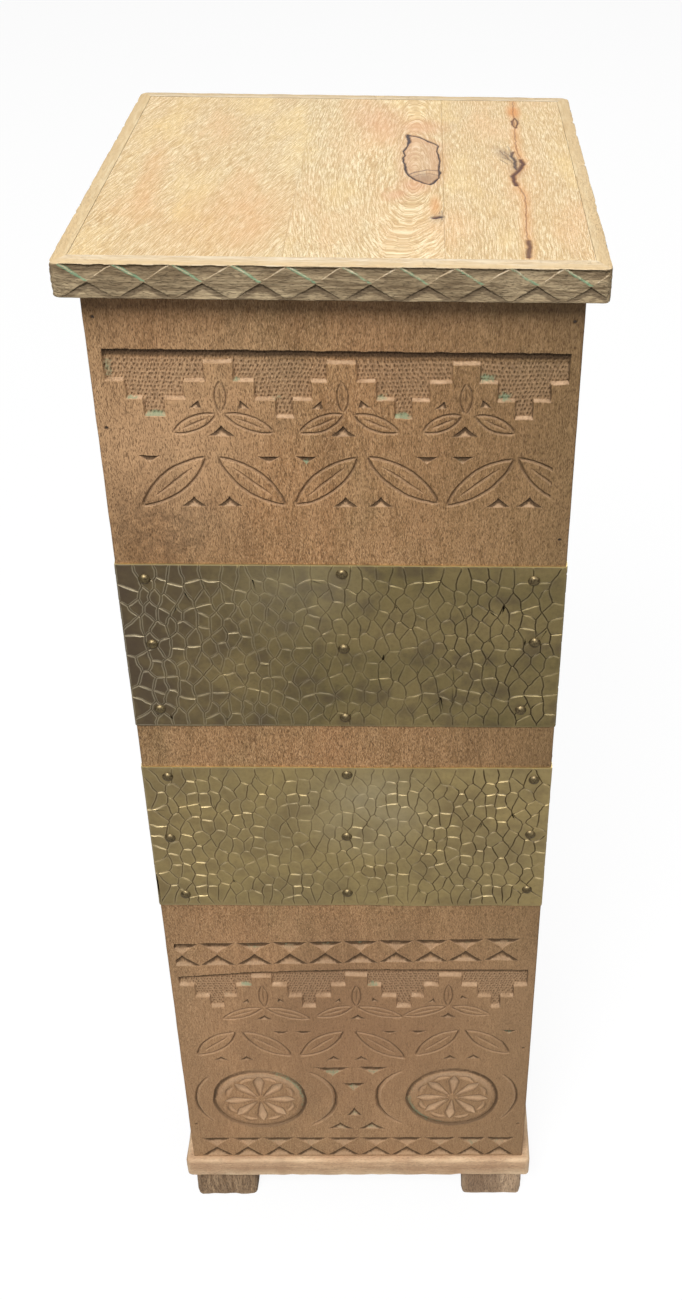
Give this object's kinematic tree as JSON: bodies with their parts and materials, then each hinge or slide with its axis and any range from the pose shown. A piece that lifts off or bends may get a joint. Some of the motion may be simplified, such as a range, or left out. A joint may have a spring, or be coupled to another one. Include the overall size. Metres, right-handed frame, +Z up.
{
  "type": "side table",
  "caption": "Tall square pedestal side table of reclaimed wood with a chip-carved front, two embossed brass bands with dome nails, a framed plank top and block feet.",
  "frame": {"origin": "on the floor, under the middle of the table", "axes": "+X to the right as seen from the front, the carved front faces -Y, +Z up"},
  "size_m": [0.326, 0.326, 0.942],
  "materials": {
    "body_wood": "old waxed hardwood, worn and dry",
    "top_wood": "sanded and waxed planks",
    "rail_wood": "weathered carved wood with traces of old paint",
    "plate_wood": "worn waxed wood",
    "foot_wood": "rough block, end grain below",
    "cleat_wood": "sawn softwood",
    "brass_sheet": "thin embossed sheet with an aged, dull patina",
    "nail_brass": "aged domed nail heads",
    "steel": "dark plain steel"
  },
  "bodies": {
    "root": {"foot_front_left": "foot_wood", "foot_front_right": "foot_wood", "foot_back_left": "foot_wood", "foot_back_right": "foot_wood", "foot_screws_set": "steel", "base_plate": "plate_wood", "base_screws_set": "steel", "front_panel": "body_wood", "back_panel": "body_wood", "left_panel": "body_wood", "right_panel": "body_wood", "front_pins": "steel", "back_pins": "steel", "front_cleat": "cleat_wood", "back_cleat": "cleat_wood", "cleat_screws": "steel", "brass_band_lower": "brass_sheet", "brass_band_upper": "brass_sheet", "lower_band_nails": "nail_brass", "upper_band_nails": "nail_brass", "top_board_left": "top_wood", "top_board_middle": "top_wood", "top_board_right": "top_wood", "top_rail_front": "rail_wood", "top_rail_right": "rail_wood", "top_rail_back": "rail_wood", "top_rail_left": "rail_wood", "rail_pins": "steel"}
  },
  "joints": []
}
